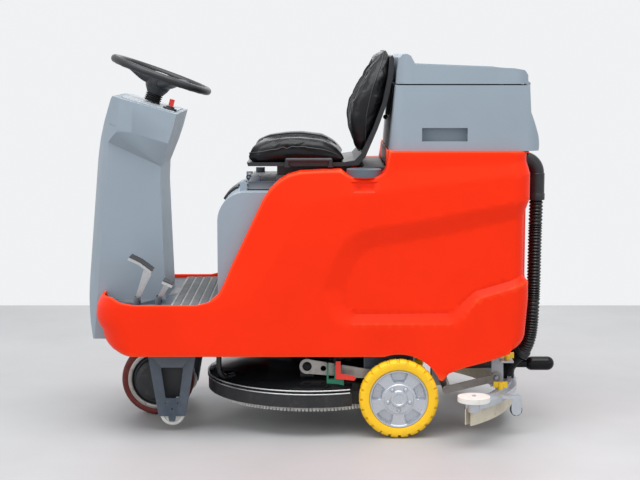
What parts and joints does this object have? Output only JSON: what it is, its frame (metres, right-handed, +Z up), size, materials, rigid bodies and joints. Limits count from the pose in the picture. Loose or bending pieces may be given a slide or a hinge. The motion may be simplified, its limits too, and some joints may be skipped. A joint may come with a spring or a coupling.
{
  "type": "ride-on floor scrubber",
  "caption": "Battery ride-on floor scrubber with steered front drive wheel, disc brush deck, rear squeegee, hinged-lid recovery tank on a moulded body, seat and tilted steering wheel.",
  "frame": {"origin": "centre of the machine's length and width, on the floor", "axes": "+X from the front of the machine to its rear, +Y to the driver's right, +Z up"},
  "size_m": [1.536, 0.96, 1.222],
  "materials": {
    "orange_shell": "smooth moulded, slightly glossy",
    "grey_shell": "fine-grained moulded",
    "panel": "fine-grained moulded",
    "frame_paint": "dark blue-grey paint",
    "mat_rubber": "ribbed rubber",
    "battery_case": "plain moulded",
    "black_plastic": "fine-grained moulded",
    "black_rubber": "matte rubber",
    "red_plastic": "glossy",
    "green_plastic": "glossy",
    "cap_plastic": "fine-grained moulded",
    "steel": "machined",
    "zinc_plate": "zinc plated",
    "cast_housing": "black paint over a casting",
    "maroon_tyre": "polyurethane",
    "yellow_tyre": "moulded with tread blocks",
    "silver_rim": "painted silver",
    "white_plastic": "moulded",
    "brush_plate": "moulded",
    "bristle": "nylon tufts",
    "vinyl": "glossy vinyl with stitched seams",
    "squeegee_metal": "cast",
    "blade_rubber": "natural rubber",
    "castor_rubber": "solid rubber",
    "yellow_plastic": "moulded"
  },
  "bodies": {
    "chassis": {"main_frame": "frame_paint", "solution_tank": "orange_shell", "platform_plate": "frame_paint", "floor_mat": "mat_rubber", "battery_pack": "battery_case", "seat_console": "grey_shell", "console_grip": "black_plastic", "column_cowl": "grey_shell", "column_panel": "panel", "column_bellows": "black_rubber", "key_switch_base": "black_plastic", "steering_chain": "steel", "tip_bracket_left": "frame_paint", "tip_bracket_right": "frame_paint", "recovery_tank": "grey_shell", "vacuum_motor": "cast_housing", "lid_strap": "black_rubber", "hose_elbow": "black_plastic", "suction_hose": "black_rubber"},
    "steering": {"steering_wheel": "black_plastic", "steering_hub": "black_plastic", "upper_shaft": "steel"},
    "lower_shaft": {"lower_shaft": "steel"},
    "drive_unit": {"drive_fork": "cast_housing", "drive_motor": "cast_housing"},
    "drive_wheel": {"drive_hub": "cast_housing", "drive_tyre": "maroon_tyre"},
    "key": {"key_lever": "red_plastic"},
    "accelerator": {"accelerator_pedal": "zinc_plate"},
    "brake": {"brake_pedal": "zinc_plate"},
    "tip_roller_left": {"tip_roller_left": "white_plastic"},
    "tip_roller_right": {"tip_roller_right": "white_plastic"},
    "rear_wheel_left": {"rear_rim_left": "silver_rim", "rear_tyre_left": "yellow_tyre"},
    "rear_wheel_right": {"rear_rim_right": "silver_rim", "rear_tyre_right": "yellow_tyre"},
    "filler_cap": {"filler_cap": "cap_plastic"},
    "lid": {"recovery_lid": "grey_shell"},
    "deck": {"deck_cover": "black_plastic", "deck_skirt": "black_rubber", "brush_motor": "cast_housing", "lever_clip": "green_plastic"},
    "brush": {"brush_disc": "brush_plate", "brush_bristles": "bristle"},
    "deck_arms": {"deck_arms": "steel"},
    "deck_lever": {"deck_lever": "red_plastic"},
    "seat_plate": {"seat_plate": "frame_paint"},
    "seat": {"seat_shell": "black_plastic", "seat_cushion": "vinyl", "seat_backrest": "vinyl"},
    "yoke": {"squeegee_yoke": "steel"},
    "squeegee_arms": {"squeegee_arms": "steel"},
    "squeegee": {"squeegee_body": "squeegee_metal", "squeegee_blades": "blade_rubber", "suction_port": "black_plastic", "wing_knobs": "yellow_plastic"},
    "guide_roller_left": {"guide_roller_left": "white_plastic"},
    "guide_roller_right": {"guide_roller_right": "white_plastic"},
    "castor_left": {"castor_left": "castor_rubber"},
    "castor_right": {"castor_right": "castor_rubber"}
  },
  "joints": [
    {"name": "fork_steer", "type": "hinge", "parent": "chassis", "child": "drive_unit", "pos_m": [-0.55, 0, 0.268], "axis": [0, 0, 1], "range_deg": [-80, 80]},
    {"name": "steering_wheel_turn", "type": "hinge", "parent": "chassis", "child": "steering", "pos_m": [-0.528, 0, 1.13], "axis": [0.342, 0, 0.9397], "range_deg": [-240, 240]},
    {"name": "lower_shaft_turn", "type": "hinge", "parent": "chassis", "child": "lower_shaft", "pos_m": [-0.63916, 0, 0.4], "axis": [0, 0, 1], "range_deg": [-240, 240]},
    {"name": "drive_wheel_spin", "type": "hinge", "parent": "drive_unit", "child": "drive_wheel", "pos_m": [-0.55, 0, 0.12], "axis": [0, 1, 0], "continuous": true},
    {"name": "key_turn", "type": "hinge", "parent": "chassis", "child": "key", "pos_m": [-0.49062, -0.112, 1.02014], "axis": [0.2689, 0, 0.9632], "range_deg": [-90, 0]},
    {"name": "accelerator_press", "type": "hinge", "parent": "chassis", "child": "accelerator", "pos_m": [-0.589, -0.241, 0.424], "axis": [0, 1, 0], "range_deg": [-15, 0], "stiffness_Nm_per_rad": 6, "springref_deg": 17.19},
    {"name": "brake_press", "type": "hinge", "parent": "chassis", "child": "brake", "pos_m": [-0.522, -0.228, 0.424], "axis": [0, 1, 0], "range_deg": [-15, 0], "stiffness_Nm_per_rad": 6, "springref_deg": 17.19},
    {"name": "tip_roller_left_spin", "type": "hinge", "parent": "chassis", "child": "tip_roller_left", "pos_m": [-0.481, -0.239, 0.058], "axis": [0, 1, 0], "continuous": true},
    {"name": "tip_roller_right_spin", "type": "hinge", "parent": "chassis", "child": "tip_roller_right", "pos_m": [-0.481, 0.239, 0.058], "axis": [0, 1, 0], "continuous": true},
    {"name": "rear_wheel_left_spin", "type": "hinge", "parent": "chassis", "child": "rear_wheel_left", "pos_m": [0.238, -0.321, 0.125], "axis": [0, 1, 0], "continuous": true},
    {"name": "rear_wheel_right_spin", "type": "hinge", "parent": "chassis", "child": "rear_wheel_right", "pos_m": [0.238, 0.321, 0.125], "axis": [0, 1, 0], "continuous": true},
    {"name": "filler_cap_lift", "type": "slide", "parent": "chassis", "child": "filler_cap", "axis": [0, 0, 1], "range_m": [0, 0.06]},
    {"name": "lid_hinge", "type": "hinge", "parent": "chassis", "child": "lid", "pos_m": [0.646, 0, 1.104], "axis": [0, 1, 0], "range_deg": [0, 95]},
    {"name": "deck_lift", "type": "slide", "parent": "chassis", "child": "deck", "axis": [0, 0, 1], "range_m": [-0.079, 0]},
    {"name": "deck_arm_swing", "type": "hinge", "parent": "chassis", "child": "deck_arms", "pos_m": [0.15, 0, 0.19], "axis": [0, 1, 0], "range_deg": [-23, 0]},
    {"name": "brush_spin", "type": "hinge", "parent": "deck", "child": "brush", "pos_m": [-0.042, 0, 0.14], "axis": [0, 0, 1], "continuous": true},
    {"name": "deck_lever_pull", "type": "hinge", "parent": "deck", "child": "deck_lever", "pos_m": [0.048, -0.297, 0.19], "axis": [0, 1, 0], "range_deg": [-30, 0]},
    {"name": "seat_tilt", "type": "hinge", "parent": "chassis", "child": "seat_plate", "pos_m": [-0.25, 0, 0.784], "axis": [0, 1, 0], "range_deg": [-50, 0]},
    {"name": "seat_slide", "type": "slide", "parent": "seat_plate", "child": "seat", "axis": [1, 0, 0], "range_m": [-0.1, 0]},
    {"name": "squeegee_swing", "type": "hinge", "parent": "chassis", "child": "yoke", "pos_m": [0.38, 0, 0.23], "axis": [0, 0, 1], "range_deg": [-10, 10], "deforming": ["suction_hose"]},
    {"name": "squeegee_lift", "type": "slide", "parent": "yoke", "child": "squeegee", "axis": [0, 0, 1], "range_m": [-0.057, 0], "deforming": ["suction_hose"]},
    {"name": "squeegee_arm_swing", "type": "hinge", "parent": "yoke", "child": "squeegee_arms", "pos_m": [0.405, 0, 0.112], "axis": [0, 1, 0], "range_deg": [0, 21]},
    {"name": "guide_roller_left_spin", "type": "hinge", "parent": "squeegee", "child": "guide_roller_left", "pos_m": [0.463, -0.43, 0.148], "axis": [0, 0, 1], "continuous": true},
    {"name": "guide_roller_right_spin", "type": "hinge", "parent": "squeegee", "child": "guide_roller_right", "pos_m": [0.463, 0.43, 0.148], "axis": [0, 0, 1], "continuous": true},
    {"name": "castor_left_spin", "type": "hinge", "parent": "squeegee", "child": "castor_left", "pos_m": [0.612, -0.289, 0.08], "axis": [0, 1, 0], "continuous": true},
    {"name": "castor_right_spin", "type": "hinge", "parent": "squeegee", "child": "castor_right", "pos_m": [0.612, 0.289, 0.08], "axis": [0, 1, 0], "continuous": true}
  ],
  "couplings": [
    {"joint": "steering_wheel_turn", "follows": "fork_steer", "ratio": 3},
    {"joint": "lower_shaft_turn", "follows": "fork_steer", "ratio": 3},
    {"joint": "deck_arm_swing", "follows": "deck_lift", "rad_per_m": 5.005},
    {"joint": "squeegee_arm_swing", "follows": "squeegee_lift", "rad_per_m": -6.112}
  ]
}
